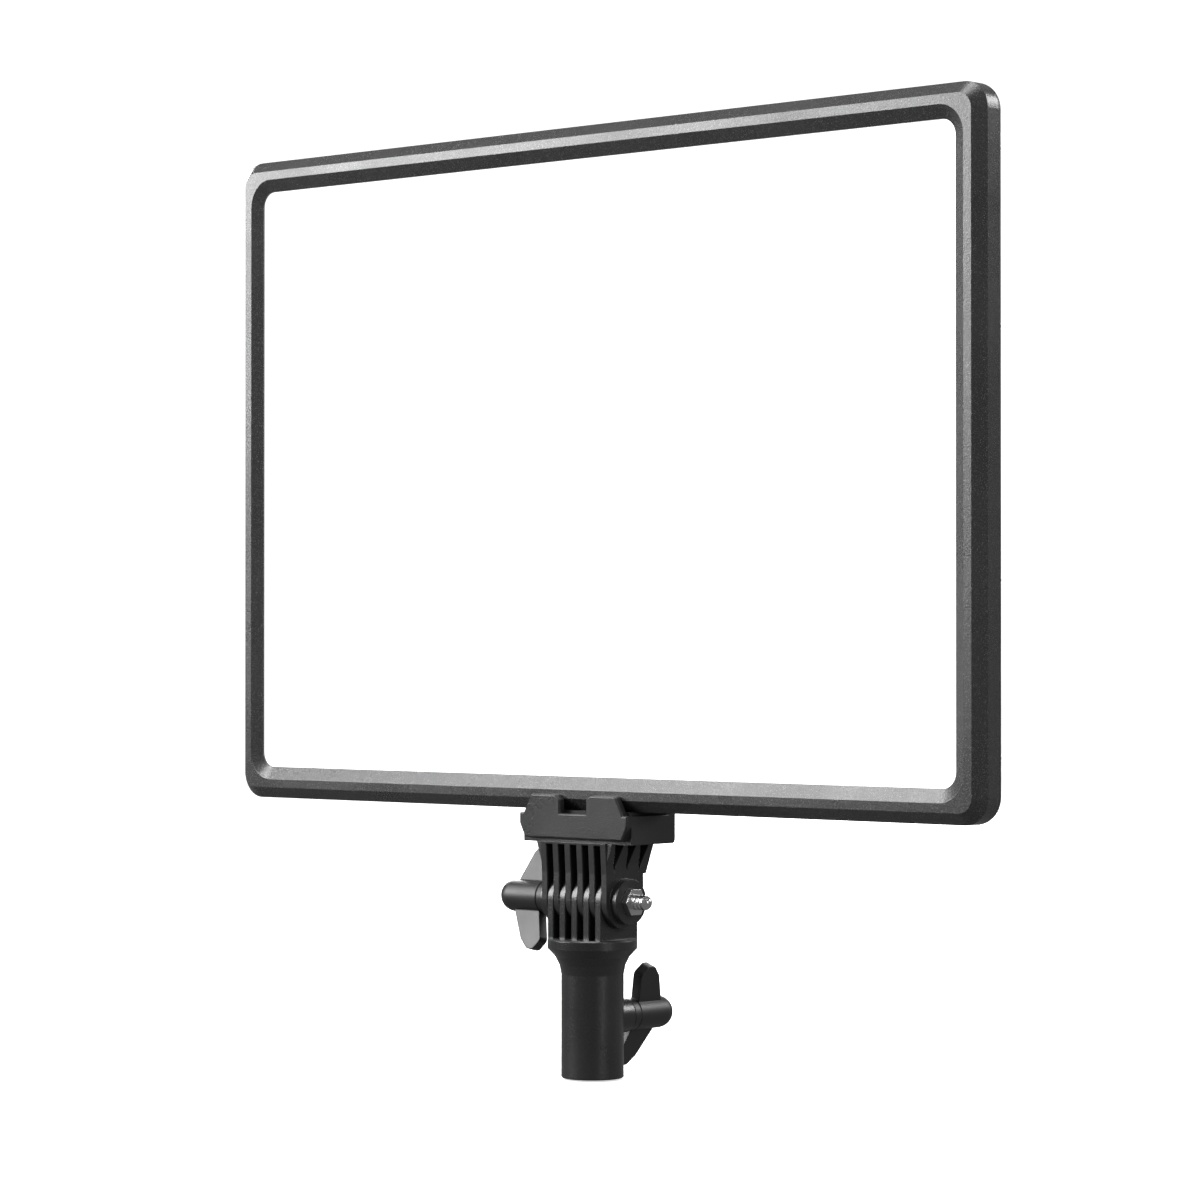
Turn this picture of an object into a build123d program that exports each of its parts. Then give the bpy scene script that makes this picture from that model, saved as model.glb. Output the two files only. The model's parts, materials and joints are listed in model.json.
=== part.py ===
from build123d import *
import math
import os

# LED panel light on a tilting stand adapter.
# World frame: origin at the mouth of the stand socket, +Z up, the light shines towards -Y,
# +X to the right as seen from in front. Every length is in millimetres.
# Pieces of the panel are drawn in the panel's own frame: y = 0 on the front flat of the bezel,
# y grows towards the rear, and x = z = 0 is the middle of the panel.

# ---- panel ----
PANEL_W = 395.0
PANEL_H = 271.0
CORNER_R = 10.5
PANEL_Y = -8.5            # front flat of the bezel in the world frame
PANEL_Z = 241.4           # middle of the panel above the socket mouth
OPENING_INSET = 13.2      # edge of the lit opening
OPENING_R = 6.2
OPENING_DEPTH = 2.3
FLAT_INNER = 8.05         # the bezel's narrow front flat lies between these two insets
FLAT_OUTER = 4.47
SIDE_START = 4.2          # where the outer slope meets the side wall
SEAM = (11.0, 11.15)      # the bezel ends and the rear cover starts
COVER_REAR = 15.8
COVER_WALL = 1.6
RIM = 6.0                 # solid rim that takes the screws
EDGE_IN = 8.9             # width of the rear cover's rounded edge

# ---- rear cover vents and screws ----
VENT_PITCH = 4.24
VENT_WIDTH = 2.7
VENT_Z = (115.8, 126.1)
VENT_COUNT = 74
SIDE_VENT_PITCH = 4.07
SIDE_VENT_HEIGHT = 2.5
SIDE_VENT_X = (176.9, 187.4)
SIDE_VENT_COUNT = 47
NECK_CLEAR = 44.0         # no bottom vents behind the neck
SCREW_INSET = 2.4
SCREW_X = (37.0, 108.8, 172.0)
SCREW_Z = (46.2, 111.0)

# ---- control housing and neck ----
FOOT = (237.6, 137.2, 10.0)
FACE = (217.0, 121.0, 6.5)
FACE_Y = 24.2
FACE_UNDER = 21.4
SLOT = 2.65
NECK_Y = 21.3
NECK_FOOT = [(48.6, -59.0), (37.6, -124.0), (35.6, -135.3)]
NECK_FACE = [(44.8, -59.0), (33.2, -124.0), (31.3, -135.3)]

# ---- battery plate ----
PLATE_X = 103.0
PLATE_Z = (2.0, 54.6)
BAY_X = 85.7
BAY_Z = (10.0, 49.6)
TRAY_FLOOR = (18.6, 20.2)
HOOK_X = (-60.0, -20.5, 20.5, 60.0)
LATCH = (8.8, 13.2)
RELEASE = (0.0, 2.3)

# ---- control fascia ----
FASCIA_X = 102.8
FASCIA_Z = (-53.6, 0.0)
FASCIA_Y = (22.85, 24.3)
LCD = (67.0, -24.3)
LCD_SIZE = (33.8, 35.0)
DIALS = ((14.8, -34.4), (-32.6, -34.5))
POINTERS = (29.0, -101.0)  # degrees anticlockwise from the top, seen from behind
GUARD = (-71.9, -14.4)
GUARD_SIZE = (25.4, 17.7)
GUARD_TOP = 33.8
CHANNEL = (-65.2, -41.3)
LENS = (-82.2, -38.6)
JACK = (-93.3, -40.7)

# ---- cradle, knuckle and stand adapter ----
CRADLE_X = 28.8
CRADLE_Y = (-3.4, 25.2)
CRADLE_Z = (-148.3, -137.0)
PLATE_Y = (21.5, 25.2)
THUMB = (0.0, -106.6)
TILT_Z = 70.3             # tilt axis above the socket mouth
PITCH = 6.35              # finger spacing along the tilt axis
FINGER = 2.8
FINGER_R = 10.85
FLANGE_Z = (50.6, 55.1)
FLANGE_R = 17.8
TUBE_R = 12.4
SOCKET_R = 8.1            # takes a 16 mm stand spigot
SOCKET_DEPTH = 42.0
LOCK_Z = 23.4
SHANK_R = 2.97            # M6 shanks
BORE_R = 3.03             # and the bores they turn in
HUB_R = 6.5
KNOB_LENGTH = 26.0
WING_SPAN = 21.6
WING_T = 4.5

PANEL = Pos(0, PANEL_Y, PANEL_Z)
parts = {}


# ---- helpers ----
def slab(profile, y_front, y_rear):
    """Extrude a profile drawn in x and z from y_front to y_rear."""
    return extrude(Plane.XZ.offset(-y_rear) * profile, y_rear - y_front)


def frustum(front, y_front, rear, y_rear):
    """Ruled loft between two profiles drawn in x and z."""
    first = (Plane.XZ.offset(-y_front) * front).face()
    last = (Plane.XZ.offset(-y_rear) * rear).face()
    return loft([first, last], ruled=True)


def block(x, y, z):
    """Box between the low and high values of each axis."""
    size = Box(abs(x[1] - x[0]), abs(y[1] - y[0]), abs(z[1] - z[0]))
    return Pos((x[0] + x[1]) / 2, (y[0] + y[1]) / 2, (z[0] + z[1]) / 2) * size


def disc(at, radius, y_front, y_rear):
    """Cylinder along Y about at = (x, z)."""
    return slab(Pos(at[0], at[1]) * Circle(radius), y_front, y_rear)


def ring(at, outer, inner, y_front, y_rear):
    return slab(Pos(at[0], at[1]) * (Circle(outer) - Circle(inner)), y_front, y_rear)


def rod(y, z, radius, x_low, x_high):
    """Cylinder along X."""
    body = Rot(0, 90, 0) * Cylinder(radius, x_high - x_low)
    return Pos((x_low + x_high) / 2, y, z) * body


def panel_outline(inset, radius):
    return RectangleRounded(PANEL_W - 2 * inset, PANEL_H - 2 * inset, radius)


def patch(x, z, radius=0.0):
    """Rectangle between low and high x and z."""
    width, height = x[1] - x[0], z[1] - z[0]
    shape = RectangleRounded(width, height, radius) if radius else Rectangle(width, height)
    return Pos((x[0] + x[1]) / 2, (z[0] + z[1]) / 2) * shape


def patch_at(at, size, radius=0.0):
    half_w, half_h = size[0] / 2, size[1] / 2
    return patch((at[0] - half_w, at[0] + half_w), (at[1] - half_h, at[1] + half_h), radius)


def mirrored_outline(points):
    """Closed face from points down one side, mirrored to the other side."""
    left = [(-x, z) for x, z in reversed(points)]
    return make_face(Polyline(*points, *left, close=True))


def bundle(shapes):
    """Several solids kept as one node."""
    return Compound(children=[solid for shape in shapes for solid in shape.solids()])


def row(count, pitch):
    """Centres of a row symmetric about zero."""
    return [(i - (count - 1) / 2) * pitch for i in range(count)]


def keep(name, shape):
    """Store a piece drawn in the panel's frame."""
    parts[name] = PANEL * shape


# ---- panel shell ----
def cover_screw_places():
    edge_x = PANEL_W / 2 - SCREW_INSET
    edge_z = PANEL_H / 2 - SCREW_INSET
    places = [(s * x, t * edge_z) for x in SCREW_X for s in (-1, 1) for t in (-1, 1)]
    places += [(s * edge_x, t * z) for z in SCREW_Z for s in (-1, 1) for t in (-1, 1)]
    return places


def make_dish():
    """Rear cover's outer form: a flat back with a rounded edge of elliptical section."""
    wide = EDGE_IN
    deep = COVER_REAR - SEAM[1]
    outline = Plane.XZ.offset(-SEAM[1]) * panel_outline(0, CORNER_R)
    path = outline.face().outer_wire()
    start = path @ 0
    inward = Vector(0, 1, 0).cross(path % 0)
    if inward.dot(Vector(0, SEAM[1], 0) - start) < 0:
        inward = inward * -1
    section = Plane(origin=start, x_dir=inward, z_dir=path % 0)
    side = 1 if section.y_dir.Y > 0 else -1
    curve = EllipticalCenterArc((wide, 0), wide, deep, 90 if side > 0 else 180, arc_size=90)
    profile = make_face([curve, Line((0, 0), (wide, 0)), Line((wide, 0), (wide, side * deep))])
    edge = sweep(section * profile, path=path)
    core = slab(panel_outline(EDGE_IN, CORNER_R - EDGE_IN), SEAM[1], COVER_REAR)
    return edge + core


def make_bezel():
    crown = frustum(
        panel_outline(FLAT_OUTER, CORNER_R - FLAT_OUTER), 0, panel_outline(0, CORNER_R), SIDE_START
    )
    body = crown + slab(panel_outline(0, CORNER_R), SIDE_START, SEAM[0])
    mouth_r = OPENING_R + OPENING_INSET - FLAT_INNER
    body -= frustum(
        panel_outline(FLAT_INNER, mouth_r), 0, panel_outline(OPENING_INSET, OPENING_R), OPENING_DEPTH
    )
    body -= slab(panel_outline(OPENING_INSET, OPENING_R), OPENING_DEPTH - 0.1, 4.0)
    body -= slab(panel_outline(5.1, 5.4), 3.0, SEAM[0])
    hollow = slab(panel_outline(2.0, 8.5), 5.2, SEAM[0])
    posts = [disc(at, 2.6, 5.2, SEAM[0]) for at in cover_screw_places()]
    body -= hollow - posts
    return body - [disc(at, 1.1, 6.4, SEAM[0]) for at in cover_screw_places()]


def vent_slots():
    slots = []
    for x in row(VENT_COUNT, VENT_PITCH):
        slots.append(block((x - VENT_WIDTH / 2, x + VENT_WIDTH / 2), (14, 16), VENT_Z))
        if abs(x) > NECK_CLEAR:
            low = (-VENT_Z[1], -VENT_Z[0])
            slots.append(block((x - VENT_WIDTH / 2, x + VENT_WIDTH / 2), (14, 16), low))
    for z in row(SIDE_VENT_COUNT, SIDE_VENT_PITCH):
        span = (z - SIDE_VENT_HEIGHT / 2, z + SIDE_VENT_HEIGHT / 2)
        slots.append(block(SIDE_VENT_X, (14, 16), span))
        slots.append(block((-SIDE_VENT_X[1], -SIDE_VENT_X[0]), (14, 16), span))
    return slots


def make_rear_cover(outer):
    body = outer - slab(panel_outline(RIM, CORNER_R - RIM), SEAM[1] - 1, COVER_REAR - COVER_WALL)
    body -= [disc(at, 2.35, 11.95, COVER_REAR + 1) for at in cover_screw_places()]
    body -= [disc(at, 1.15, SEAM[1] - 0.5, 12.1) for at in cover_screw_places()]
    body -= vent_slots()
    return body - block((28, 48), (14, 16), (-52, -44))


def cover_screw(at):
    head = disc(at, 1.95, 12.0, 12.75)
    cross = block((-1.3, 1.3), (12.4, 13), (-0.3, 0.3)) + block((-0.3, 0.3), (12.4, 13), (-1.3, 1.3))
    return head + disc(at, 1.05, 6.6, 12.1) - Pos(at[0], 0, at[1]) * cross


outer_dish = make_dish()
keep("front_bezel", make_bezel())
keep("rear_cover", make_rear_cover(outer_dish))
keep("cover_screws", bundle([cover_screw(at) for at in cover_screw_places()]))


# ---- light engine ----
def led_strip_pieces():
    """Two vertical strips facing the edges of the light guide."""
    boards, chips = [], []
    for side in (-1, 1):
        boards.append(block((side * 190.2, side * 191.2), (5.3, 9.2), (-118, 118)))
        for z in row(42, 5.5):
            chips.append(block((side * 189.0, side * 190.2), (5.9, 8.6), (z - 1.75, z + 1.75)))
    return boards, chips


def make_heat_spreader():
    plate = slab(panel_outline(7.0, 4.0), 9.5, 10.9)
    for side in (-1, 1):
        plate += block((side * 191.2, side * 192.2), (5.3, 10.9), (-120, 120))
        plate += block((side * 189.5, side * 192.2), (9.5, 10.9), (-120, 120))
    for x in row(5, 62.0):
        plate -= disc((x, 95.0), 2.0, 9, 11)
    return plate


def make_driver_board():
    board = slab(patch((-85, 85), (-50, 34), 2), 11.6, 12.8)
    for x in row(6, 24.0):
        board += block((x - 4, x + 4), (12.8, 13.9), (-38, -26))
        board += disc((x, 12.0), 4.2, 12.8, 14.0)
    for x in (-78, 78):
        for z in (-43, 27):
            board += disc((x, z), 2.0, 10.9, 11.6)
    return board


strip_boards, strip_chips = led_strip_pieces()
keep("diffuser", slab(panel_outline(5.4, 5.1), 3.05, 5.0))
keep("light_guide", slab(panel_outline(9.0, 3.0), 5.1, 9.1))
keep("reflector_sheet", slab(panel_outline(9.0, 3.0), 9.15, 9.4))
keep("led_strips", bundle(strip_boards))
keep("led_chips", bundle(strip_chips))
keep("heat_spreader", make_heat_spreader())
keep("driver_board", make_driver_board())


# ---- control housing ----
def sized(spec, inset=0.0):
    return RectangleRounded(spec[0] - 2 * inset, spec[1] - 2 * inset, spec[2] - inset)


def slope_slots():
    slots = []
    for i in range(45):
        x = 93.0 - VENT_PITCH * i
        slots.append(block((x - SLOT / 2, x + SLOT / 2), (15, 25), (58.7, 70.0)))
        if abs(x) > 50:
            slots.append(block((x - SLOT / 2, x + SLOT / 2), (15, 25), (-70.0, -58.7)))
    for z in row(23, 4.05):
        for side in (-1, 1):
            span = (z + 1.2 - SLOT / 2, z + 1.2 + SLOT / 2)
            slots.append(block((side * 106.8, side * 120), (15, 25), span))
    return slots


def plate_outline(inset):
    x = (-PLATE_X + inset, PLATE_X - inset)
    z = (PLATE_Z[0] + inset, PLATE_Z[1] - inset)
    return patch(x, z, 5.0 - inset) + Pos(*RELEASE) * Circle(7.0 - inset)


def fascia_outline(grow=0.0):
    x = (-FASCIA_X - grow, FASCIA_X + grow)
    z = (FASCIA_Z[0] - grow, FASCIA_Z[1] + grow)
    return patch(x, z, 4.0) - Pos(*RELEASE) * Circle(8.6 - grow)


def make_housing(outer):
    body = frustum(sized(FOOT), COVER_REAR, sized(FACE), FACE_Y)
    body -= frustum(sized(FOOT, 2.4), COVER_REAR, sized(FACE, 3.4), FACE_UNDER)
    body -= slope_slots()
    neck = frustum(mirrored_outline(NECK_FOOT), COVER_REAR, mirrored_outline(NECK_FACE), NECK_Y)
    neck += slab(mirrored_outline(NECK_FOOT), 12.0, COVER_REAR)
    neck -= outer
    neck -= slab(patch((-40, 40), (-60, -50)), 10, 22)
    body += neck
    body += slab(plate_outline(0) - plate_outline(1.2), FACE_Y - 0.2, FACE_Y + 0.5)
    body -= slab(patch((-BAY_X, BAY_X), BAY_Z, 1.2), 21, 25)
    for x in HOOK_X:
        body += slab(patch((x - 3.7, x + 3.7), (BAY_Z[1] - 2.0, BAY_Z[1] + 0.5)), 22.0, 23.1)
        body += slab(patch((x - 3.7, x + 3.7), (BAY_Z[0] - 0.5, BAY_Z[0] + 2.0)), 22.0, 23.1)
    body -= slab(fascia_outline(0.15), FASCIA_Y[0] - 0.05, 25)
    body -= disc(RELEASE, 4.5, 21, 26)
    body -= slab(patch_at(LCD, (LCD_SIZE[0] - 2, LCD_SIZE[1] - 2), 1.5), 21, 25)
    body -= [disc(at, 3.6, 21, 25) for at in DIALS]
    body -= slab(patch_at(GUARD, (19.6, 13.4)), 21, 25)
    body -= disc(CHANNEL, 6.5, 21, 25)
    body -= disc(LENS, 1.7, 21, 25)
    body -= disc(JACK, 5.2, 21, 25)
    body -= [disc((x, SCREW_INSET - PANEL_H / 2), 2.6, 11, 22) for x in (-SCREW_X[0], SCREW_X[0])]
    body -= disc(THUMB, BORE_R + 0.3, 15, 22)
    return body - slab(Pos(*THUMB) * RegularPolygon(5.85, 6), 15, 20.1)


def make_tray():
    body = slab(patch((-88.5, 88.5), (7.2, 52.4), 2), TRAY_FLOOR[0], FACE_UNDER)
    body -= slab(patch((-BAY_X, BAY_X), BAY_Z, 1.2), TRAY_FLOOR[1], 22)
    body += slab(patch((-6.4, 6.4), (-4.2, 8.0), 2), TRAY_FLOOR[0], 19.4)
    body -= disc(RELEASE, 1.95, 18, 21)
    for x in HOOK_X:
        body -= slab(patch((x - 3.75, x + 3.75), (BAY_Z[1] - 2.6, BAY_Z[1] - 0.1)), 19.1, 21)
        body -= slab(patch((x - 3.75, x + 3.75), (BAY_Z[0] + 0.1, BAY_Z[0] + 2.6)), 19.1, 21)
    for side in (-1, 1):
        body -= slab(patch_at((side * LATCH[0], LATCH[1]), (2.9, 3.8)), 18, 21)
        low, high = sorted((side * 76.5, side * 84.6))
        body -= slab(patch((low, high), (10.6, 49.0)), 18, 21)
        body -= [disc((side * 73.2, z), 0.9, 18, 21) for z in (13.4, 46.4)]
    return body


def contact_block(side):
    low, high = sorted((side * 76.7, side * 84.4))
    body = slab(patch((low, high), (10.8, 48.8)), 17.6, 19.4)
    for z in (13.0, 46.4):
        body += slab(patch((low + 0.8, high - 0.8), (z - 1.9, z + 1.9)), 19.4, 20.3)
    return body


def contact_blades(side):
    blades = [block((side * 79.2, side * 79.9), (19.4, 20.6), (16.0, 43.0))]
    for z in (13.0, 46.4):
        blades.append(block((side * 78.4, side * 82.4), (20.3, 21.3), (z - 0.9, z + 0.9)))
    return blades


def rating_label(side):
    """Blank label with one cut corner."""
    outline = patch_at((side * 44.0, 28.6), (33.0, 23.5))
    corner = Pos(side * 27.5, 16.85) * Rot(0, 0, 45) * Rectangle(6.4, 6.4)
    return slab(outline - corner, TRAY_FLOOR[1], TRAY_FLOOR[1] + 0.12)


def make_latch_bar():
    bar = slab(patch((-2.4, 2.4), (0.2, 14.8)), 17.4, 18.3)
    bar += slab(patch((-10.3, 10.3), (11.6, 14.8)), 17.4, 18.3)
    for side in (-1, 1):
        bar += slab(patch_at((side * LATCH[0], LATCH[1]), (2.2, 3.1)), 18.3, 21.2)
    return bar


keep("control_housing", make_housing(outer_dish))
keep("battery_tray", make_tray())
keep("rating_labels", bundle([rating_label(-1), rating_label(1)]))
keep("contact_block_left", contact_block(-1))
keep("contact_block_right", contact_block(1))
keep("contact_blades", bundle(contact_blades(-1) + contact_blades(1)))
tray_screw = disc((0, 0), 1.3, 20.2, 20.8) + disc((0, 0), 0.85, 18.7, 20.2)
tray_places = [(x, z) for x in (-73.2, 73.2) for z in (13.4, 46.4)]
keep("tray_screws", bundle([Pos(x, 0, z) * tray_screw for x, z in tray_places]))
button_cap = fillet(disc(RELEASE, 3.9, 21.4, 26.9).edges().group_by(Axis.Y)[-1], 0.5)
keep("release_button", button_cap + disc(RELEASE, 1.6, 18.3, 21.5))
keep("release_spring", ring(RELEASE, 3.5, 2.3, 19.4, 19.9))
keep("latch_bar", make_latch_bar())


# ---- fascia and controls ----
def make_fascia():
    body = slab(fascia_outline(), *FASCIA_Y)
    body -= slab(patch_at(LCD, (LCD_SIZE[0] + 0.1, LCD_SIZE[1] + 0.1), 1.5), 22, 25)
    body -= [disc(at, 3.6, 22, 25) for at in DIALS]
    body -= slab(patch_at(GUARD, (GUARD_SIZE[0] + 0.1, GUARD_SIZE[1] + 0.1), 2.0), 22, 25)
    body -= disc(CHANNEL, 6.5, 22, 25)
    body -= disc(LENS, 1.7, 22, 25)
    return body - disc(JACK, 5.2, 22, 25)


def make_knob(at):
    """Control knob: skirt, finely fluted grip and shallow face recess."""
    x, z = at
    body = disc(at, 13.3, 24.65, 27.8)
    grip = disc(at, 12.5, 27.8, 34.6)
    grip = chamfer(grip.edges().group_by(Axis.Y)[-1], 0.5)
    flutes = []
    for i in range(48):
        turn = math.radians(i * 7.5)
        flutes.append(disc((x + 12.75 * math.cos(turn), z + 12.75 * math.sin(turn)), 0.5, 28.0, 35))
    body += grip - flutes
    return body - disc(at, 10.4, 34.0, 35) - disc(at, 2.97, 24, 31)


def pointer_cut(at, degrees):
    """Triangular notch near the rim; seen from behind, +X lies to the left."""
    turn = math.radians(degrees)
    notch = make_face(Polyline((-0.9, 6.6), (0.9, 6.6), (0, 9.8), close=True))
    return slab(Pos(*at) * Rot(0, 0, -math.degrees(turn)) * notch, 33.4, 34.5)


def knob_shaft(at):
    return disc(at, 2.97, 18.2, 31.0)


def encoder(at):
    body = slab(patch_at(at, (12.5, 13.2), 0.6), 17.3, 20.6) + disc(at, 4.6, 20.6, 21.3)
    return body - disc(at, BORE_R, 18.0, 22)


def make_guard():
    body = slab(patch_at(GUARD, GUARD_SIZE, 2.0), FASCIA_Y[0], GUARD_TOP)
    body = fillet(body.edges().group_by(Axis.Y)[-1], 0.6)
    body -= slab(patch_at(GUARD, (22.8, 15.1), 1.0), 22, 32.7)
    return body - slab(patch_at(GUARD, (19.2, 13.0), 0.4), 32, 35)


def make_switch_body():
    body = slab(patch_at(GUARD, (19.0, 12.8), 0.3), 21.2, 33.8)
    flange = slab(patch_at(GUARD, (21.0, 15.0), 1.0), 33.8, 34.9)
    body += chamfer(flange.edges().group_by(Axis.Y)[-1], 0.4)
    body -= slab(patch_at(GUARD, (16.8, 11.2), 0.6), 26.0, 36)
    x, z = GUARD
    body -= Pos(x, 30.0, z) * Cylinder(1.06, 12.4)
    for offset in (-6.0, 0, 6.0):
        body += block((x + offset - 0.4, x + offset + 0.4), (18.2, 21.3), (z - 2.4, z + 2.4))
    return body


def make_rocker():
    """Paddle about a vertical pin, flat in its middle position."""
    x, z = GUARD
    outline = [(-6.3, 36.4), (6.3, 36.4), (6.1, 31.0), (3.4, 27.0), (-3.4, 27.0), (-6.1, 31.0)]
    face = make_face(Polyline(*[(x + a, b) for a, b in outline], close=True))
    body = Pos(0, 0, z - 5.2) * extrude(face, 10.4)
    body = fillet(body.edges().filter_by(Axis.X).group_by(Axis.Y)[-1], 0.4)
    return body + Pos(x, 30.0, z) * Cylinder(1.0, 12.2)


def make_board():
    board = slab(patch((-101, 101), (-56, -5), 2), 16.1, 17.3)
    board -= slab(patch_at(GUARD, (20.5, 14.4)), 16, 18)
    for x in row(5, 9.0):
        board += block((x - 12 - 2, x - 12 + 2), (17.3, 18.4), (-17, -11))
    return board


def make_jack():
    body = disc(JACK, 5.0, 17.5, FASCIA_Y[1])
    body += disc(JACK, 6.9, FASCIA_Y[1], 25.5)
    body -= ring(JACK, 5.6, 3.2, 24.7, 26)
    return body - disc(JACK, 2.75, 18.6, 26)


keep("control_fascia", make_fascia())
keep("lcd_window", slab(patch_at(LCD, LCD_SIZE, 1.4), FASCIA_Y[0], FASCIA_Y[1]))
lcd_body = slab(patch_at(LCD, (31.0, 32.0)), 18.9, 22.7)
keep("lcd_module", lcd_body - slab(patch_at(LCD, (27.0, 28.0)), 22.4, 23))
keep("control_board", make_board())
keep("brightness_encoder", encoder(DIALS[0]))
keep("colour_encoder", encoder(DIALS[1]))
keep("brightness_knob", make_knob(DIALS[0]) - pointer_cut(DIALS[0], POINTERS[0]))
keep("brightness_shaft", knob_shaft(DIALS[0]))
keep("colour_knob", make_knob(DIALS[1]) - pointer_cut(DIALS[1], POINTERS[1]))
keep("colour_shaft", knob_shaft(DIALS[1]))
keep("switch_guard", make_guard())
keep("switch_body", make_switch_body())
keep("switch_rocker", make_rocker())
channel_cap = fillet(disc(CHANNEL, 6.2, 21.2, 25.3).edges().group_by(Axis.Y)[-1], 0.35)
channel_stem = disc(CHANNEL, 7.6, 20.6, 21.2) + disc(CHANNEL, 1.8, 20.1, 20.7)
keep("channel_button", channel_cap + channel_stem)
channel_base = slab(patch_at(CHANNEL, (6.2, 6.2), 0.4), 17.3, 18.7)
keep("channel_switch", channel_base + disc(CHANNEL, 1.6, 18.7, 19.2))
lens = disc(LENS, 1.65, 20.0, 24.4) + slab(patch_at(LENS, (3.4, 2.8)), 17.3, 20.0)
keep("indicator_led", lens)
keep("dc_jack", make_jack())
keep("dc_jack_ring", ring(JACK, 5.6, 3.2, 24.7, 25.6))
keep("dc_jack_pin", disc(JACK, 1.05, 18.6, 24.8))


# ---- cradle and knuckle ----
AXIS_Y = -PANEL_Y
AXIS_P = TILT_Z - PANEL_Z


def side_profile(points, x_low, x_high):
    """Extrude a profile drawn in y and z along X."""
    face = Plane.YZ.offset(x_low) * make_face(Polyline(*points, close=True))
    return extrude(face, x_high - x_low)


def make_lip():
    points = [(28.8, -141.0), (28.8, -136.9), (26.5, -136.8), (22.6, -129.4)]
    points += [(9.4, -129.4), (7.0, -131.2), (7.0, -136.7)]
    left = [(-x, z) for x, z in reversed(points)]
    face = make_face(Polyline((26.0, -146.6), *points, *left, (-26.0, -146.6), close=True))
    lip = slab(face, CRADLE_Y[0], -0.5)
    shoulders = lip.edges().filter_by(Axis.Y).sort_by(Axis.Z)
    lip = fillet(shoulders[-4:], 1.8)
    return chamfer(lip.edges().group_by(Axis.Y)[0], 0.5)


def make_gusset(side):
    """Flare from the outer cheek to the cradle, before the pockets are cut."""
    inner, outer = 2.5 * PITCH, 20.2
    low, high = AXIS_P + 10.5, CRADLE_Z[0] + 0.2
    flare = make_face(Polyline((inner, low), (inner, high), (outer, high), close=True))
    body = slab(flare, AXIS_Y - FINGER_R, AXIS_Y + 14.0)
    return body if side > 0 else mirror(body, about=Plane.YZ)


def pocket_cuts():
    """Three tapering pockets in each outer cheek, right under the cradle."""
    cuts = []
    top = CRADLE_Z[0] + 0.15
    for y in (AXIS_Y - 6.2, AXIS_Y + 1.2, AXIS_Y + 8.6):
        for low, high in ((16.0, 26.0), (-26.0, -16.0)):
            wedge = Polyline((y - 2.7, top), (y + 2.7, top), (y, AXIS_P + 11.5), close=True)
            cuts.append(extrude(Plane.YZ.offset(low) * make_face(wedge), high - low))
    return cuts


def make_tilt_head():
    body = block((-CRADLE_X, CRADLE_X), (CRADLE_Y[0] + 2.9, CRADLE_Y[1]), CRADLE_Z)
    heel = body.edges().filter_by(Axis.X).group_by(Axis.Z)[0].sort_by(Axis.Y)[-1]
    body = fillet(heel, 1.6)
    body += make_lip()
    plate = slab(patch((-CRADLE_X, CRADLE_X), (-144.0, -89.6)), *PLATE_Y)
    top = plate.edges().filter_by(Axis.Y).group_by(Axis.Z)[-1]
    body += fillet(top, 8.5)
    wedge = [(AXIS_Y - FINGER_R, AXIS_P), (AXIS_Y - FINGER_R, AXIS_P + 11.0)]
    wedge += [(AXIS_Y - 11.6, CRADLE_Z[0] + 0.4), (AXIS_Y + 15.5, CRADLE_Z[0] + 0.4)]
    wedge += [(AXIS_Y + FINGER_R, AXIS_P + 11.0), (AXIS_Y + FINGER_R, AXIS_P)]
    outer_x = 2.5 * PITCH + FINGER / 2
    body += side_profile(wedge, -outer_x, outer_x)
    body += rod(AXIS_Y, AXIS_P, FINGER_R, -outer_x, outer_x)
    body += rod(AXIS_Y, AXIS_P, 9.0, -20.2, 20.5)
    body += make_gusset(1) + make_gusset(-1)
    body -= pocket_cuts()
    for x in (-2, -1, 0, 1, 2):
        low, high = x * PITCH - (PITCH - FINGER) / 2, x * PITCH + (PITCH - FINGER) / 2
        body -= block((low, high), (AXIS_Y - 30, AXIS_Y + 30), (AXIS_P - 15, CRADLE_Z[0] - 0.6))
    body -= rod(AXIS_Y, AXIS_P, BORE_R, -25, 25)
    pocket = Plane.YZ.offset(18.2) * (Pos(AXIS_Y, AXIS_P) * RegularPolygon(5.85, 6))
    body -= extrude(pocket, 5)
    return body - disc(THUMB, BORE_R, 21, 26)


def hex_nut_x(x_low, x_high):
    face = Plane.YZ.offset(x_low) * (RegularPolygon(5.77, 6) - Circle(BORE_R))
    return Pos(0, AXIS_Y, AXIS_P) * extrude(face, x_high - x_low)


def make_thumb_knob():
    """Fluted thumb screw head with a recessed face."""
    head = disc(THUMB, 8.75, 26.5, 37.2)
    head = chamfer(head.edges().filter_by(GeomType.CIRCLE), 0.6)
    flutes = []
    for i in range(20):
        turn = math.radians(i * 18)
        at = (THUMB[0] + 9.4 * math.cos(turn), THUMB[1] + 9.4 * math.sin(turn))
        flutes.append(disc(at, 1.15, 26, 38))
    head = head - flutes - disc(THUMB, 6.2, 36.2, 38)
    return head - disc(THUMB, SHANK_R, 26, 34)


keep("tilt_head", make_tilt_head())
keep("cradle_pad", block((-27.0, 27.0), (0.4, 20.8), (-137.0, -135.6)))
keep("tilt_nut", hex_nut_x(18.2, 23.2))
nut_face = Pos(*THUMB) * (RegularPolygon(5.77, 6) - Circle(BORE_R))
keep("thumb_nut", slab(nut_face, 15.9, 20.0))
keep("thumb_washer", ring(THUMB, 6.0, 3.4, 25.3, 26.4))
keep("thumb_screw", make_thumb_knob())
keep("thumb_stud", disc(THUMB, SHANK_R, 16.4, 34.0))


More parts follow.
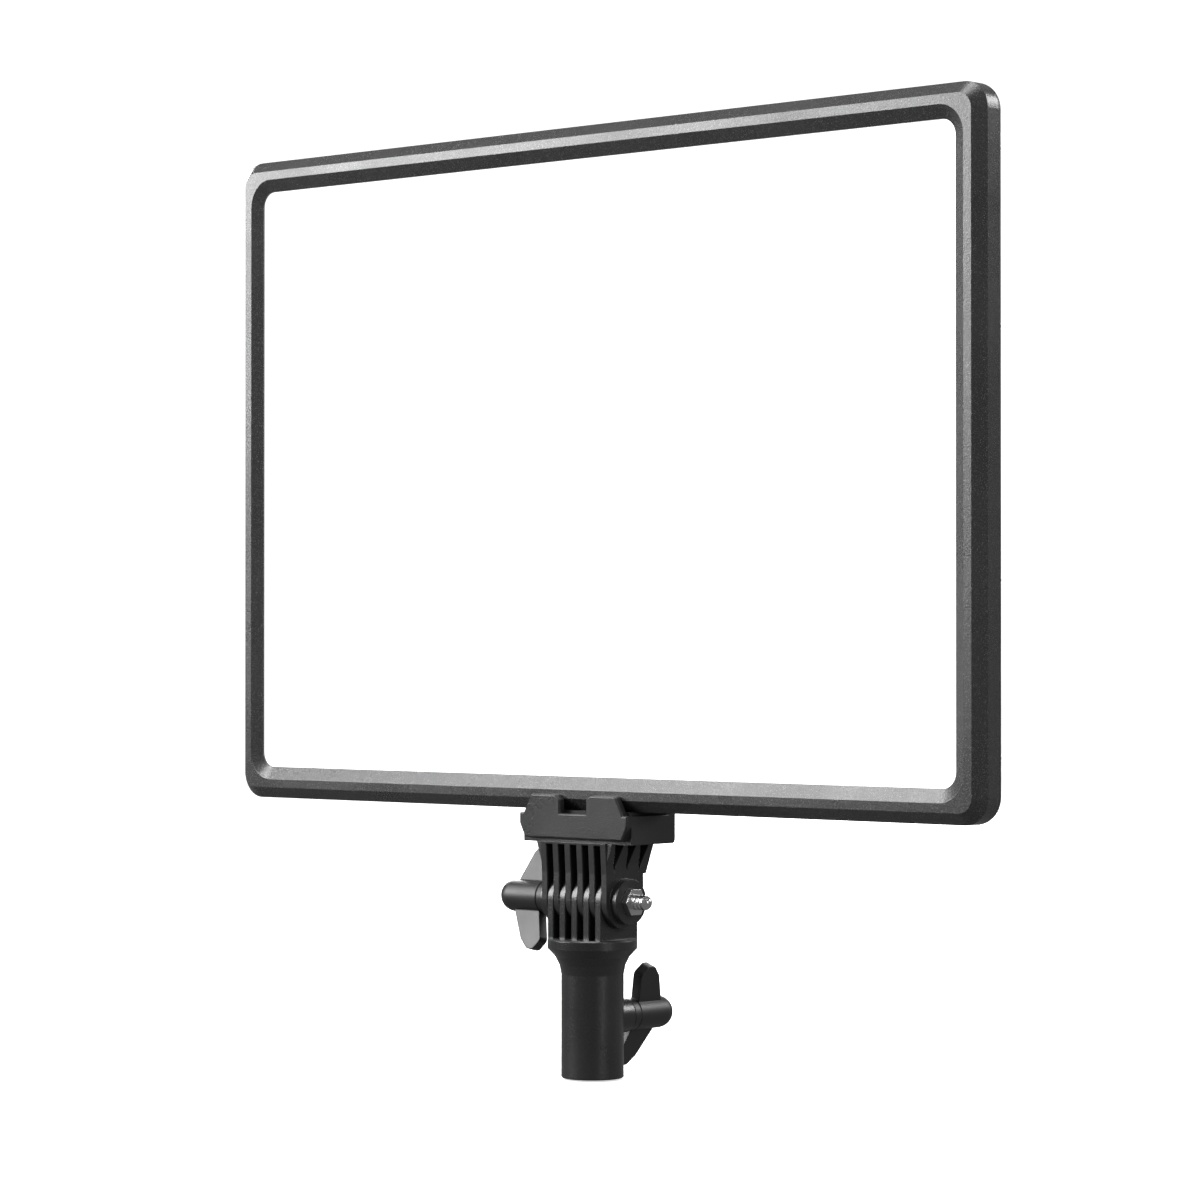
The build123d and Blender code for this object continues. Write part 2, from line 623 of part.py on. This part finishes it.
# ---- wing knobs ----
def wing_knob(turn):
    """Two-winged knob on +Z with its clamping end at z = 0."""
    dome_z = KNOB_LENGTH - HUB_R
    hub = Pos(0, 0, dome_z / 2) * Cylinder(HUB_R, dome_z)
    hub += Pos(0, 0, dome_z) * Sphere(HUB_R)
    outline = [(4.0, 4.6), (WING_SPAN - 4.0, 0.9), (WING_SPAN, 4.4), (WING_SPAN, 7.6)]
    outline += [(WING_SPAN - 4.0, 11.6), (4.0, 18.4)]
    body = hub
    for side in (1, -1):
        points = [(side * a, b) for a, b in outline]
        face = Plane.XZ.offset(WING_T / 2) * make_face(Polyline(*points, close=True))
        wing = extrude(face, -WING_T)
        tips = wing.edges().filter_by(Axis.Y).sort_by(Axis.X)
        tips = tips[-4:] if side > 0 else tips[:4]
        body += fillet(tips, 2.2)
    groove = Pos(0, 0, 3.4) * (Cylinder(HUB_R + 1, 0.5) - Cylinder(HUB_R - 0.35, 0.5))
    body = body - groove
    return Rot(0, 0, turn) * (body - Pos(0, 0, 9.0) * Cylinder(SHANK_R, 18.0))


def to_tilt(shape):
    """Local +Z onto -X at the tilt axis, clamping end at x = -21.6."""
    return Pos(-21.6, 0, TILT_Z) * Rot(0, -90, 0) * shape


def to_lock(shape):
    """Local +Z onto +Y at the lock axis, clamping end at y = 18.9."""
    return Pos(0, 18.9, LOCK_Z) * Rot(-90, 0, 0) * shape


bolt = rod(0, TILT_Z, SHANK_R, -39.6, 27.6)
bolt += Pos(27.6, 0, TILT_Z) * Sphere(SHANK_R)
parts["tilt_bolt"] = bolt
parts["tilt_knob"] = to_tilt(wing_knob(14))
parts["tilt_washer"] = rod(0, TILT_Z, 7.4, -21.5, -20.3) - rod(0, TILT_Z, 3.4, -22, -20)
lock_screw = Pos(0, 23.65, LOCK_Z) * Rot(90, 0, 0) * Cylinder(SHANK_R, 26.5)
parts["lock_screw"] = lock_screw
parts["lock_knob"] = to_lock(wing_knob(-69))
parts["lock_pad"] = Pos(0, 9.35, LOCK_Z) * Rot(90, 0, 0) * Cylinder(2.7, 1.9)


# ---- stand adapter ----
def make_stand_adapter():
    profile = Polyline(
        (0, SOCKET_DEPTH),
        (SOCKET_R, SOCKET_DEPTH),
        (SOCKET_R, 0),
        (TUBE_R - 0.5, 0),
        (TUBE_R, 0.5),
        (TUBE_R, 41.0),
        (TUBE_R + 0.7, 44.6),
        (TUBE_R + 2.4, 48.0),
        (FLANGE_R - 0.6, FLANGE_Z[0]),
        (FLANGE_R, FLANGE_Z[0] + 0.6),
        (FLANGE_R, FLANGE_Z[1] - 0.6),
        (FLANGE_R - 0.6, FLANGE_Z[1]),
        (0, FLANGE_Z[1]),
        close=True,
    )
    body = revolve(Plane.XZ * make_face(profile), Axis.Z)
    for i in (-2, -1, 0, 1, 2):
        low, high = i * PITCH - FINGER / 2, i * PITCH + FINGER / 2
        body += block((low, high), (-FINGER_R, FINGER_R), (FLANGE_Z[1] - 0.5, TILT_Z))
        body += rod(0, TILT_Z, FINGER_R, low, high)
    body -= rod(0, TILT_Z, BORE_R, -20, 20)
    collar = Pos(0, 13.0, LOCK_Z) * Rot(90, 0, 0) * Cylinder(7.0, 10.0)
    body += collar - Pos(0, 0, LOCK_Z) * Cylinder(SOCKET_R + 0.5, 30)
    body -= Pos(0, 12.0, LOCK_Z) * Rot(90, 0, 0) * Cylinder(BORE_R, 14.0)
    return body - Pos(0, 14.0, LOCK_Z) * Rot(90, 0, 0) * Cylinder(4.6, 8.0)


parts["stand_adapter"] = make_stand_adapter()
insert = Rot(90, 0, 0) * (Cylinder(4.6, 7.6) - Cylinder(BORE_R, 7.6))
parts["lock_insert"] = Pos(0, 13.8, LOCK_Z) * insert


# ---- output ----
os.makedirs("parts", exist_ok=True)
for name, shape in parts.items():
    export_step(shape, "parts/" + name + ".step")
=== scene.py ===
import bpy
import bmesh
import json
import math
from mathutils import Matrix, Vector


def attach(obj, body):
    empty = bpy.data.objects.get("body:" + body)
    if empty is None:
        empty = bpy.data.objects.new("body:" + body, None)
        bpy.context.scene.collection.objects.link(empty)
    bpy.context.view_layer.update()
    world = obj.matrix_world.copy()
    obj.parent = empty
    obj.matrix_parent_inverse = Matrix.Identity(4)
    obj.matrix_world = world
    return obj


# LED panel light: looks, printed marks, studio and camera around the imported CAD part.
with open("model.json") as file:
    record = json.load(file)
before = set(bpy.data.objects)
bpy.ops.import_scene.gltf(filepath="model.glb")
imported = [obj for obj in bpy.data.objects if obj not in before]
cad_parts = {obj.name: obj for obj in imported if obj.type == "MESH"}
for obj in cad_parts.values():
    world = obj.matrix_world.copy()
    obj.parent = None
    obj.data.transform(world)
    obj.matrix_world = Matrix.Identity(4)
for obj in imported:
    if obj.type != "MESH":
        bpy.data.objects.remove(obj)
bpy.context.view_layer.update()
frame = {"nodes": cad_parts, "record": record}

PANEL_Y = -0.0085         # front flat of the bezel
PANEL_Z = 0.2414          # middle of the panel
FASCIA_Y = PANEL_Y + 0.0243
ROCKER_Y = PANEL_Y + 0.0364
LABEL_Y = PANEL_Y + 0.02032

GRAIN_DEPTH = 0.00008     # relief of the moulded grain
THREAD_DEPTH = 0.0004     # relief of the thread ridges
DUST_AMOUNT = 0.06
DUST_COLOUR = (0.45, 0.44, 0.42, 1)
FLECK_COLOUR = (0.42, 0.42, 0.43, 1)


# ---- materials ----
def socket(node, names, value):
    for name in names:
        if name in node.inputs:
            node.inputs[name].default_value = value
            return


def link_noise(tree, coords, scale, detail, low, high, low_out, high_out):
    """Noise mapped to a range of values."""
    noise = tree.nodes.new("ShaderNodeTexNoise")
    noise.inputs["Scale"].default_value = scale
    noise.inputs["Detail"].default_value = detail
    noise.inputs["Roughness"].default_value = 0.6
    tree.links.new(coords, noise.inputs["Vector"])
    span = tree.nodes.new("ShaderNodeMapRange")
    span.inputs["From Min"].default_value = low
    span.inputs["From Max"].default_value = high
    span.inputs["To Min"].default_value = low_out
    span.inputs["To Max"].default_value = high_out
    tree.links.new(noise.outputs["Fac"], span.inputs["Value"])
    return span.outputs["Result"]


def finish(name, color, rough, metallic=0.0, tint=0.25, grain=2500, bump=0.2, blotch=14, coat=0.0,
           edge=0.0002, fleck=0.0, spread=0.08, glow=0.0, specular=0.5, thread=0.0, brushed=None):
    """Procedural finish: grain, uneven gloss, faint dust and softened edges."""
    mat = bpy.data.materials.new(name)
    mat.use_nodes = True
    tree = mat.node_tree
    shader = tree.nodes["Principled BSDF"]
    coord = tree.nodes.new("ShaderNodeTexCoord")
    place = coord.outputs["Object"]
    grain_place = place
    if brushed:
        stretch = tree.nodes.new("ShaderNodeMapping")
        stretch.inputs["Scale"].default_value = brushed
        tree.links.new(place, stretch.inputs["Vector"])
        grain_place = stretch.outputs["Vector"]
    fine_bump = link_noise(tree, grain_place, grain, 3, 0.3, 0.7, 0.0, 1.0)
    broad_tint = link_noise(tree, place, blotch, 4, 0.3, 0.7, 1 - tint, 1 + tint)
    broad_rough = link_noise(tree, place, blotch * 1.7, 5, 0.3, 0.7, rough - spread, rough + spread)
    rgb = tree.nodes.new("ShaderNodeRGB")
    rgb.outputs[0].default_value = (*color, 1)
    scaled = tree.nodes.new("ShaderNodeVectorMath")
    scaled.operation = "SCALE"
    tree.links.new(rgb.outputs[0], scaled.inputs[0])
    tree.links.new(broad_tint, scaled.inputs["Scale"])
    colour = scaled.outputs[0]
    if fleck:
        spots = link_noise(tree, place, 3600, 1, 0.60, 0.74, 0.0, fleck)
        mix = tree.nodes.new("ShaderNodeMix")
        mix.data_type = "RGBA"
        mix.inputs["B"].default_value = FLECK_COLOUR
        tree.links.new(spots, mix.inputs["Factor"])
        tree.links.new(colour, mix.inputs["A"])
        colour = mix.outputs["Result"]
    # a little dust lies on whatever faces up
    geometry = tree.nodes.new("ShaderNodeNewGeometry")
    split = tree.nodes.new("ShaderNodeSeparateXYZ")
    tree.links.new(geometry.outputs["Normal"], split.inputs[0])
    dust = tree.nodes.new("ShaderNodeMapRange")
    dust.inputs["From Min"].default_value = 0.5
    dust.inputs["From Max"].default_value = 1.0
    dust.inputs["To Max"].default_value = DUST_AMOUNT
    tree.links.new(split.outputs["Z"], dust.inputs["Value"])
    patchy = tree.nodes.new("ShaderNodeMath")
    patchy.operation = "MULTIPLY"
    tree.links.new(dust.outputs["Result"], patchy.inputs[0])
    tree.links.new(broad_tint, patchy.inputs[1])
    dusty = tree.nodes.new("ShaderNodeMix")
    dusty.data_type = "RGBA"
    dusty.inputs["B"].default_value = DUST_COLOUR
    tree.links.new(patchy.outputs[0], dusty.inputs["Factor"])
    tree.links.new(colour, dusty.inputs["A"])
    tree.links.new(dusty.outputs["Result"], shader.inputs["Base Color"])
    tree.links.new(broad_rough, shader.inputs["Roughness"])
    shader.inputs["Metallic"].default_value = metallic
    socket(shader, ["Specular IOR Level"], specular)
    socket(shader, ["Coat Weight"], coat)
    socket(shader, ["Coat Roughness"], 0.05)
    # emission: on the opal diffuser this is a painted glow standing in for light on it; on the backdrop it
    # keeps the backdrop evenly white
    if glow:
        socket(shader, ["Emission Color"], (1, 1, 1, 1))
        socket(shader, ["Emission Strength"], glow)
    normal = None
    if edge:
        round_edge = tree.nodes.new("ShaderNodeBevel")
        round_edge.samples = 4
        round_edge.inputs["Radius"].default_value = edge
        normal = round_edge.outputs["Normal"]
    if thread:
        wave = tree.nodes.new("ShaderNodeTexWave")
        wave.bands_direction = "X"
        wave.inputs["Scale"].default_value = thread
        tree.links.new(place, wave.inputs["Vector"])
        ridge = tree.nodes.new("ShaderNodeBump")
        ridge.inputs["Strength"].default_value = 0.7
        ridge.inputs["Distance"].default_value = THREAD_DEPTH
        tree.links.new(wave.outputs["Fac"], ridge.inputs["Height"])
        if normal:
            tree.links.new(normal, ridge.inputs["Normal"])
        normal = ridge.outputs["Normal"]
    relief = tree.nodes.new("ShaderNodeBump")
    relief.inputs["Strength"].default_value = bump
    relief.inputs["Distance"].default_value = GRAIN_DEPTH
    tree.links.new(fine_bump, relief.inputs["Height"])
    if normal:
        tree.links.new(normal, relief.inputs["Normal"])
    tree.links.new(relief.outputs["Normal"], shader.inputs["Normal"])
    return mat


FINISHES = {
    "bezel_black": finish("bezel_paint", (0.026, 0.026, 0.027), 0.27, metallic=0.1, grain=1500, tint=0.10,
                          bump=0.35, fleck=0.40, edge=0.0003, spread=0.05),
    "shell_charcoal": finish("shell_plastic", (0.022, 0.022, 0.023), 0.43, grain=2200, bump=0.35,
                             tint=0.06, edge=0.0003, specular=0.42, spread=0.04),
    "tray_charcoal": finish("tray_plastic", (0.022, 0.022, 0.023), 0.46, grain=2000, bump=0.25, tint=0.08,
                            specular=0.42, spread=0.04),
    "fascia_black": finish("fascia_gloss", (0.006, 0.006, 0.007), 0.06, grain=400, bump=0.02,
                           coat=0.6, spread=0.02, tint=0.1),
    "screen_black": finish("screen_smoked", (0.15, 0.152, 0.157), 0.07, grain=300, bump=0.01,
                           coat=0.8, spread=0.015, tint=0.08),
    "knob_black": finish("knob_plastic", (0.014, 0.014, 0.015), 0.28, grain=2600, bump=0.2, spread=0.05),
    "switch_black": finish("switch_plastic", (0.010, 0.010, 0.011), 0.28, grain=1800, bump=0.12, spread=0.05),
    # painted glow: the opal diffuser gets an emission so that it reads bright white, standing in for light
    # falling on it
    "diffuser_white": finish("opal_sheet_painted_glow", (0.93, 0.93, 0.93), 0.55, grain=900, bump=0.05, tint=0.01,
                             glow=0.9, edge=0),
    "clear_acrylic": finish("acrylic", (0.88, 0.91, 0.91), 0.08, grain=600, bump=0.02, tint=0.02, spread=0.02),
    "reflector_white": finish("reflector_film", (0.88, 0.88, 0.88), 0.45, grain=900, bump=0.05, tint=0.03),
    "strip_white": finish("strip_mask", (0.80, 0.80, 0.78), 0.40, grain=1200, bump=0.1, tint=0.05),
    "chip_yellow": finish("phosphor", (0.82, 0.66, 0.20), 0.45, grain=1500, bump=0.1, tint=0.08),
    "board_green": finish("solder_mask", (0.012, 0.11, 0.045), 0.30, grain=700, bump=0.2, tint=0.3),
    "spreader_aluminium": finish("black_anodised", (0.010, 0.010, 0.011), 0.55, metallic=0.4, grain=700,
                                 bump=0.15, brushed=(0.03, 1, 1), tint=0.06, specular=0.2),
    "label_grey": finish("label_foil", (0.26, 0.265, 0.27), 0.42, metallic=0.1, grain=1500, bump=0.06,
                         tint=0.06, edge=0),
    "contact_metal": finish("nickel", (0.72, 0.71, 0.67), 0.22, metallic=1.0, grain=1600, bump=0.1, tint=0.08),
    "screw_black": finish("black_zinc", (0.05, 0.05, 0.052), 0.32, metallic=0.8, grain=2400, bump=0.2),
    "steel": finish("zinc_plate", (0.60, 0.60, 0.60), 0.20, metallic=1.0, grain=1800, bump=0.15, tint=0.1),
    "threaded": finish("zinc_thread", (0.58, 0.58, 0.58), 0.20, metallic=1.0, grain=1800, bump=0.1,
                       tint=0.1, thread=160),
    "chrome_ring": finish("bright_chrome", (0.78, 0.78, 0.79), 0.10, metallic=1.0, grain=900, bump=0.04,
                          tint=0.04, spread=0.04),
    "knuckle_black": finish("knuckle_nylon", (0.015, 0.015, 0.016), 0.28, grain=1900, bump=0.3, tint=0.12,
                            edge=0.0005, fleck=0.06, spread=0.06),
    "wing_black": finish("wing_nylon", (0.012, 0.012, 0.013), 0.40, grain=2100, bump=0.3, tint=0.12,
                         edge=0.0006, spread=0.06),
    "washer_nylon": finish("nylon", (0.016, 0.016, 0.016), 0.45, grain=1500, bump=0.15),
    "pad_rubber": finish("pad_rubber", (0.016, 0.016, 0.016), 0.75, grain=1800, bump=0.4),
    "insert_brass": finish("turned_brass", (0.62, 0.44, 0.16), 0.28, metallic=1.0, grain=1400, bump=0.15,
                           tint=0.1),
    "lens_clear": finish("lens", (0.60, 0.62, 0.60), 0.12, grain=800, bump=0.03, tint=0.05),
}
INK = finish("white_ink", (0.80, 0.80, 0.80), 0.45, grain=3000, bump=0.1, tint=0.08, edge=0)
GREY_INK = finish("grey_ink", (0.60, 0.60, 0.61), 0.45, grain=3000, bump=0.1, tint=0.08, edge=0)

SLOT_OF = {row["node"]: row["material_slot"] for row in frame["record"]["subparts"]}
for node, obj in frame["nodes"].items():
    look = "threaded" if node in ("tilt_bolt", "thumb_stud", "lock_screw") else SLOT_OF[node]
    obj.data.materials.clear()
    obj.data.materials.append(FINISHES[look])


# ---- printed marks ----
def bar(mesh, start, end, width, y_low, y_high):
    """Flat bar between two points given as (x, z) in the panel's frame, in millimetres."""
    a, b = Vector(start), Vector(end)
    across = Vector((-(b - a).y, (b - a).x)).normalized() * width / 2
    corners = [a + across, b + across, b - across, a - across]
    low = [mesh.verts.new((p.x / 1000, y_low, p.y / 1000 + PANEL_Z)) for p in corners]
    high = [mesh.verts.new((p.x / 1000, y_high, p.y / 1000 + PANEL_Z)) for p in corners]
    mesh.faces.new(low)
    mesh.faces.new(list(reversed(high)))
    for i in range(4):
        j = (i + 1) % 4
        mesh.faces.new((low[i], high[i], high[j], low[j]))


def polar(at, radius, degrees):
    """Point about a centre; degrees anticlockwise from the top as seen from behind."""
    turn = math.radians(degrees)
    return (at[0] + radius * math.sin(turn), at[1] + radius * math.cos(turn))


def arc(mesh, at, radius, first, last, width, y_low, y_high, steps=36):
    for i in range(steps):
        a = first + (last - first) * i / steps
        b = first + (last - first) * (i + 1) / steps
        bar(mesh, polar(at, radius, a), polar(at, radius, b), width, y_low, y_high)


def printed(name, draw, body, material, y, height=0.00003):
    """A thin printed piece drawn by a function and carried by a body."""
    mesh = bmesh.new()
    draw(mesh, y, y + height)
    bmesh.ops.recalc_face_normals(mesh, faces=mesh.faces)
    data = bpy.data.meshes.new(name)
    mesh.to_mesh(data)
    mesh.free()
    obj = bpy.data.objects.new(name, data)
    bpy.context.scene.collection.objects.link(obj)
    data.materials.append(material)
    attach(obj, body)
    return obj


def draw_dial(at):
    def draw(mesh, low, high):
        for i in range(45):
            angle = 135 - 270 * i / 44
            outer = 16.4
            if i in (0, 44):
                outer = 17.4
            if i == 22:
                outer = 18.6
            width = 0.55 if i in (0, 22, 44) else 0.36
            bar(mesh, polar(at, 15.2, angle), polar(at, outer, angle), width, low, high)
        arc(mesh, at, 15.2, 133, -133, 0.5, low, high, 60)
        arc(mesh, at, 14.0, 178, -178, 0.38, low, high, 72)
        left, right = at[0] + 15.4, at[0] - 15.4
        z = at[1] - 14.6
        bar(mesh, (left - 1.5, z), (left + 1.5, z), 0.8, low, high)
        bar(mesh, (right - 1.5, z), (right + 1.5, z), 0.8, low, high)
        bar(mesh, (right, z - 1.5), (right, z - 0.4), 0.8, low, high)
        bar(mesh, (right, z + 0.4), (right, z + 1.5), 0.8, low, high)
    return draw


def draw_icons(mesh, low, high):
    # a small sun over the brightness dial
    sun = (14.8, -9.6)
    arc(mesh, sun, 1.3, 0, 360, 0.45, low, high, 24)
    for i in range(8):
        bar(mesh, polar(sun, 2.1, 45 * i), polar(sun, 3.0, 45 * i), 0.4, low, high)
    # a half-filled disc over the colour dial
    half = (-32.6, -9.6)
    arc(mesh, half, 2.4, 0, 360, 0.4, low, high, 30)
    for i in range(7):
        x = 0.16 + 0.32 * i
        tall = math.sqrt(max(0.05, 2.2 ** 2 - x ** 2))
        bar(mesh, (half[0] + x, half[1] - tall), (half[0] + x, half[1] + tall), 0.33, low, high)
    # a ring over a line by the indicator, and stacked bars by the push button
    lamp = (-82.2, -28.0)
    arc(mesh, lamp, 1.2, 0, 360, 0.45, low, high, 22)
    bar(mesh, (lamp[0] - 1.1, lamp[1] - 2.6), (lamp[0] + 1.1, lamp[1] - 2.6), 0.5, low, high)
    for i in range(3):
        bar(mesh, (-67.4, -27.0 - 1.3 * i), (-63.2 - 0.9 * i, -27.0 - 1.3 * i), 0.55, low, high)
    # centre-pin polarity sign over the inlet
    pole = (-93.3, -29.2)
    arc(mesh, pole, 1.5, 50, 310, 0.4, low, high, 20)
    bar(mesh, (pole[0] - 0.01, pole[1]), (pole[0] + 0.5, pole[1]), 0.9, low, high)
    bar(mesh, (pole[0] - 4.6, pole[1]), (pole[0] - 0.4, pole[1]), 0.35, low, high)
    bar(mesh, (pole[0] + 1.7, pole[1]), (pole[0] + 4.6, pole[1]), 0.35, low, high)


def draw_switch(mesh, low, high):
    """I, O and II side by side; +X lies to the left from behind."""
    x, z = -71.9, -14.4
    bar(mesh, (x + 3.9, z - 1.7), (x + 3.9, z + 1.7), 0.55, low, high)
    arc(mesh, (x, z), 1.35, 0, 360, 0.55, low, high, 28)
    for offset in (-3.4, -4.7):
        bar(mesh, (x + offset, z - 1.7), (x + offset, z + 1.7), 0.55, low, high)


def draw_label(side):
    def draw(mesh, low, high):
        left = side * 44.0 + 13.8
        for i, (length, thick) in enumerate([(17, 1.6), (9, 0.6), (13, 0.6), (15, 0.6), (11, 0.6)]):
            z = 37.0 - 2.9 * i
            bar(mesh, (left, z), (left - length, z), thick, low, high)
    return draw


printed("brightness_marks", draw_dial((14.8, -34.4)), "head", INK, FASCIA_Y)
printed("colour_marks", draw_dial((-32.6, -34.5)), "head", INK, FASCIA_Y)
printed("fascia_icons", draw_icons, "head", INK, FASCIA_Y)
printed("rocker_marks", draw_switch, "power_rocker", INK, ROCKER_Y)
for side, name in ((1, "label_lines_left"), (-1, "label_lines_right")):
    printed(name, draw_label(side), "head", GREY_INK, LABEL_Y)


# ---- studio ----
FLOOR_Z = -0.0006
FLOOR_RADIUS = 2.6
SWEEP = 1.6               # radius of the curve between floor and wall
WALL_TOP = 4.0
AROUND = 72


def add_backdrop():
    """Round studio floor that sweeps up into a wall on every side."""
    mesh = bmesh.new()
    profile = [(0.001, FLOOR_Z), (1.2, FLOOR_Z), (FLOOR_RADIUS, FLOOR_Z)]
    for i in range(1, 13):
        turn = math.radians(90 * i / 12)
        profile.append((FLOOR_RADIUS + SWEEP * math.sin(turn), SWEEP - SWEEP * math.cos(turn)))
    profile.append((FLOOR_RADIUS + SWEEP, WALL_TOP))
    loops = []
    for radius, height in profile:
        ring = []
        for k in range(AROUND):
            angle = 2 * math.pi * k / AROUND
            ring.append(mesh.verts.new((radius * math.cos(angle), radius * math.sin(angle), height)))
        loops.append(ring)
    for low, high in zip(loops, loops[1:]):
        for k in range(AROUND):
            n = (k + 1) % AROUND
            face = mesh.faces.new((low[k], low[n], high[n], high[k]))
            face.smooth = True
    mesh.faces.new(loops[0])
    data = bpy.data.meshes.new("backdrop")
    mesh.to_mesh(data)
    mesh.free()
    backdrop = bpy.data.objects.new("backdrop", data)
    bpy.context.scene.collection.objects.link(backdrop)
    data.materials.append(finish("pale_backdrop", (0.88, 0.88, 0.88), 0.7, grain=30, bump=0.02,
                                 tint=0.01, edge=0, spread=0.03, glow=0.62))
    # kept out of reflections and bounced light, so that black plastic keeps its contrast
    backdrop.visible_glossy = False
    backdrop.visible_diffuse = False


def add_light(name, place, target, size, power):
    data = bpy.data.lights.new(name, "AREA")
    data.shape = "RECTANGLE"
    data.size, data.size_y = size
    data.energy = power
    lamp = bpy.data.objects.new(name, data)
    bpy.context.scene.collection.objects.link(lamp)
    lamp.location = place
    lamp.rotation_euler = (Vector(target) - Vector(place)).to_track_quat("-Z", "Y").to_euler()


add_backdrop()
MIDDLE = (0, 0, 0.2)
add_light("key", (-1.5, -1.5, 1.9), MIDDLE, (0.8, 1.0), 44)
add_light("glint", (-1.75, -1.75, 0.85), MIDDLE, (1.3, 0.9), 62)
add_light("side", (2.3, -0.4, 0.9), MIDDLE, (0.5, 1.3), 26)
add_light("top", (0.0, 0.0, 2.3), MIDDLE, (1.2, 1.2), 36)
add_light("rear_key", (-1.7, 1.5, 1.1), MIDDLE, (1.1, 1.1), 46)
add_light("rear_side", (1.2, 2.2, 1.4), MIDDLE, (0.9, 0.9), 34)

world = bpy.data.worlds.new("studio")
bpy.context.scene.world = world
world.use_nodes = True
sky = world.node_tree.nodes["Background"]
sky.inputs["Color"].default_value = (1.0, 1.0, 1.0, 1)
sky.inputs["Strength"].default_value = 0.22
bpy.context.scene.view_settings.view_transform = "Standard"

# ---- camera ----
CAMERA_PLACE = (1.049, -1.1535, 0.1758)
CAMERA_TARGET = (0.004, 0, 0.189)
camera_data = bpy.data.cameras.new("camera")
camera_data.lens = 118
camera_data.sensor_width = 36
camera = bpy.data.objects.new("camera", camera_data)
bpy.context.scene.collection.objects.link(camera)
camera.location = CAMERA_PLACE
aim = Vector(CAMERA_TARGET) - camera.location
camera.rotation_euler = aim.to_track_quat("-Z", "Y").to_euler()
bpy.context.scene.camera = camera
